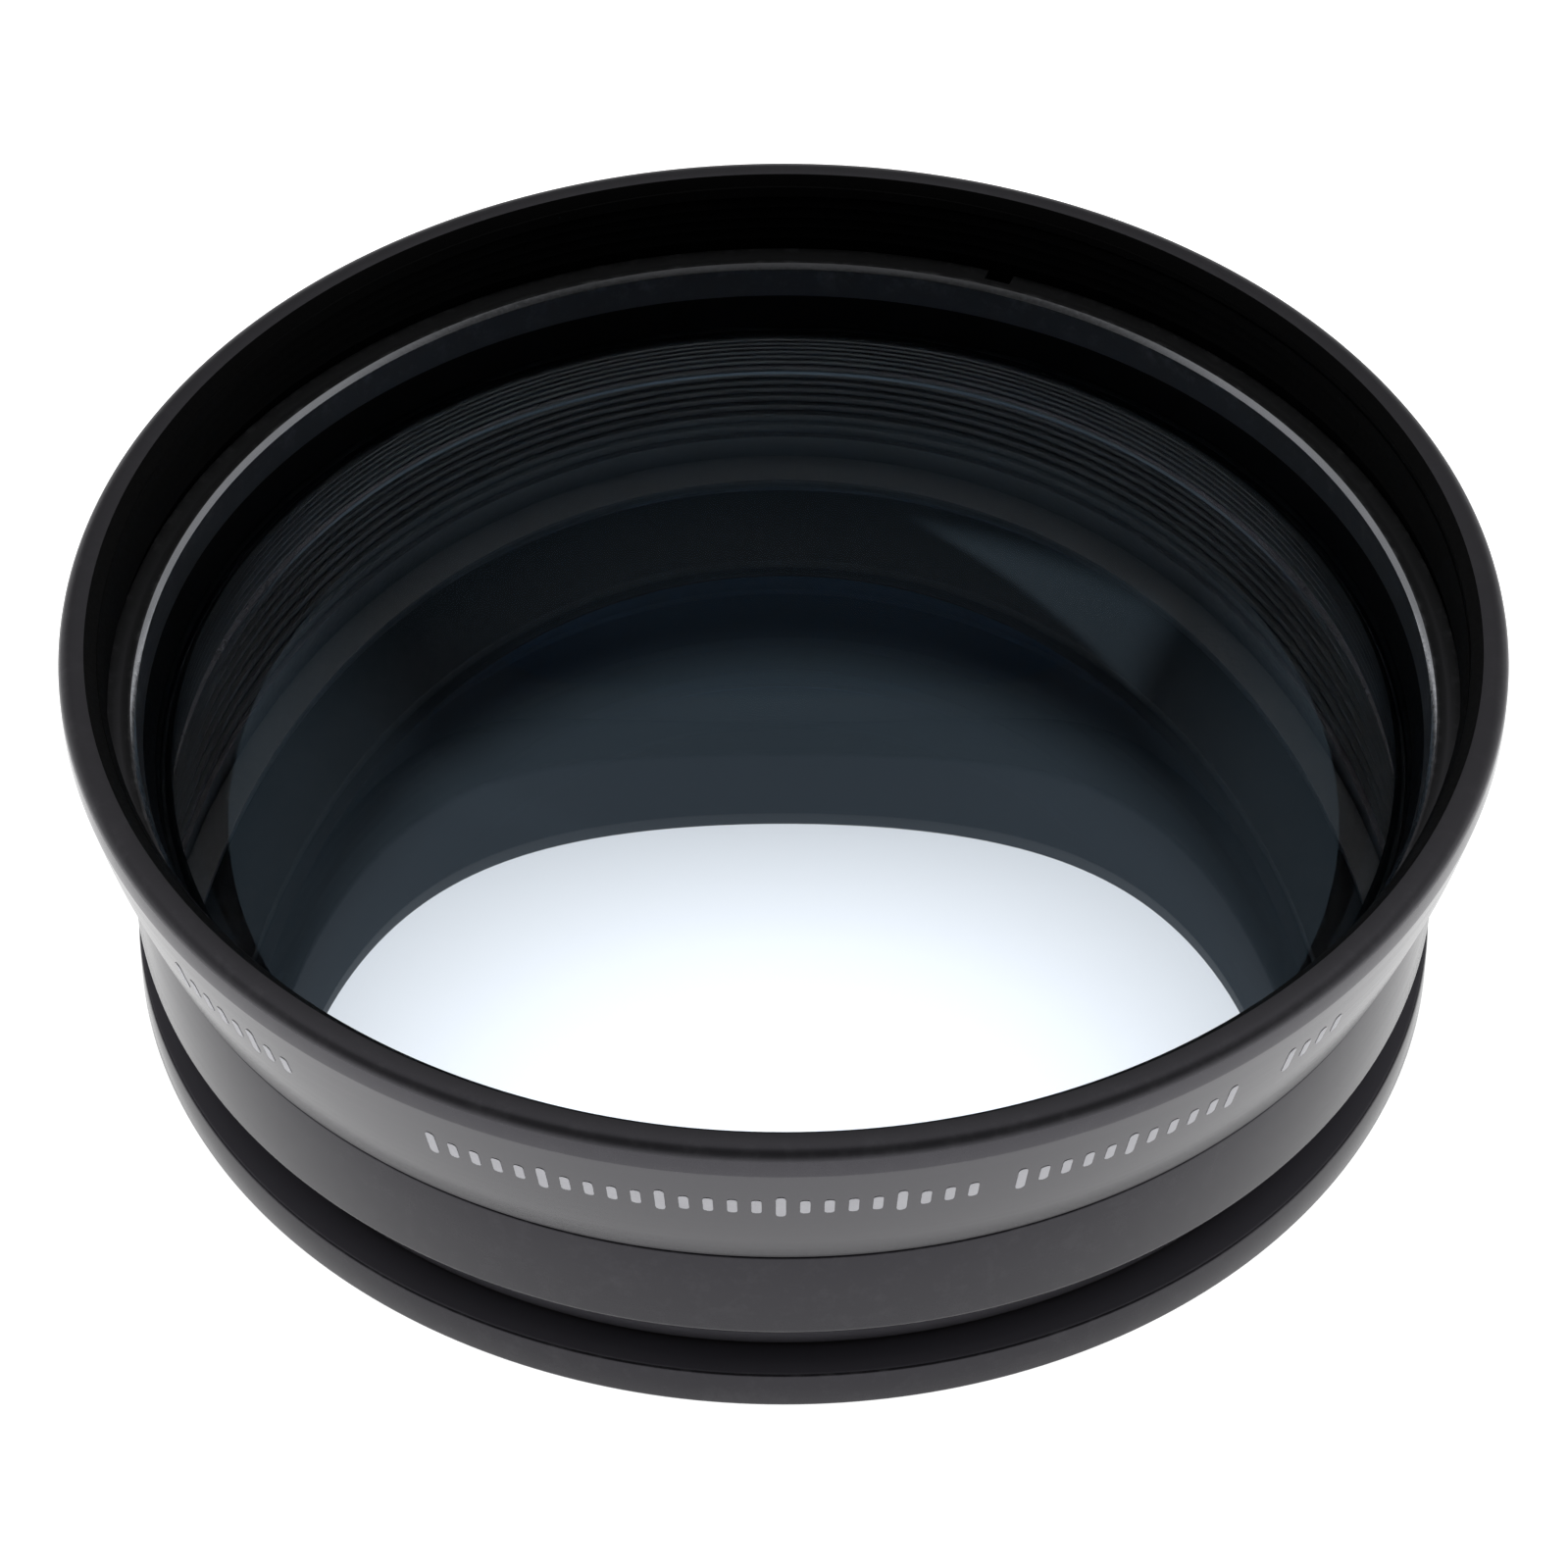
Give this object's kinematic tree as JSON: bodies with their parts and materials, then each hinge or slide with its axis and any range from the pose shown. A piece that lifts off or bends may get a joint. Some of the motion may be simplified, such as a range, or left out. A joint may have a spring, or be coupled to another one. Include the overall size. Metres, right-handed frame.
{
  "type": "camera teleconverter",
  "caption": "Screw-in camera teleconverter: wide front lens in a flared black barrel, grooved neck, mounting flange and a male rear thread.",
  "frame": {"origin": "centre of the thread collar's end face, the lowest face", "axes": "+Z along the optical axis towards the wide front lens, +X towards a spanner notch of the rear retaining ring"},
  "size_m": [0.076, 0.076, 0.0281],
  "materials": {
    "barrel": "satin black anodised",
    "ring": "matt black anodised",
    "glass": "polished, thin bluish coating",
    "rubber": "matt",
    "baffle": "flat black paint",
    "brass": "satin",
    "steel": "blackened"
  },
  "bodies": {
    "root": {"front_barrel": "barrel", "front_retaining_ring": "ring", "front_slip_ring": "ring", "front_crown_element": "glass", "front_flint_element": "glass", "front_lens_gasket": "rubber", "baffle_cone": "baffle", "rear_light_stop": "baffle", "rear_barrel": "barrel", "joint_seal_ring": "rubber", "separation_shim": "brass", "mount_shim": "brass", "rear_element": "glass", "rear_lens_gasket": "rubber", "rear_retaining_ring": "ring", "mount_ring": "barrel", "mount_grub_screws": "steel"}
  },
  "joints": []
}
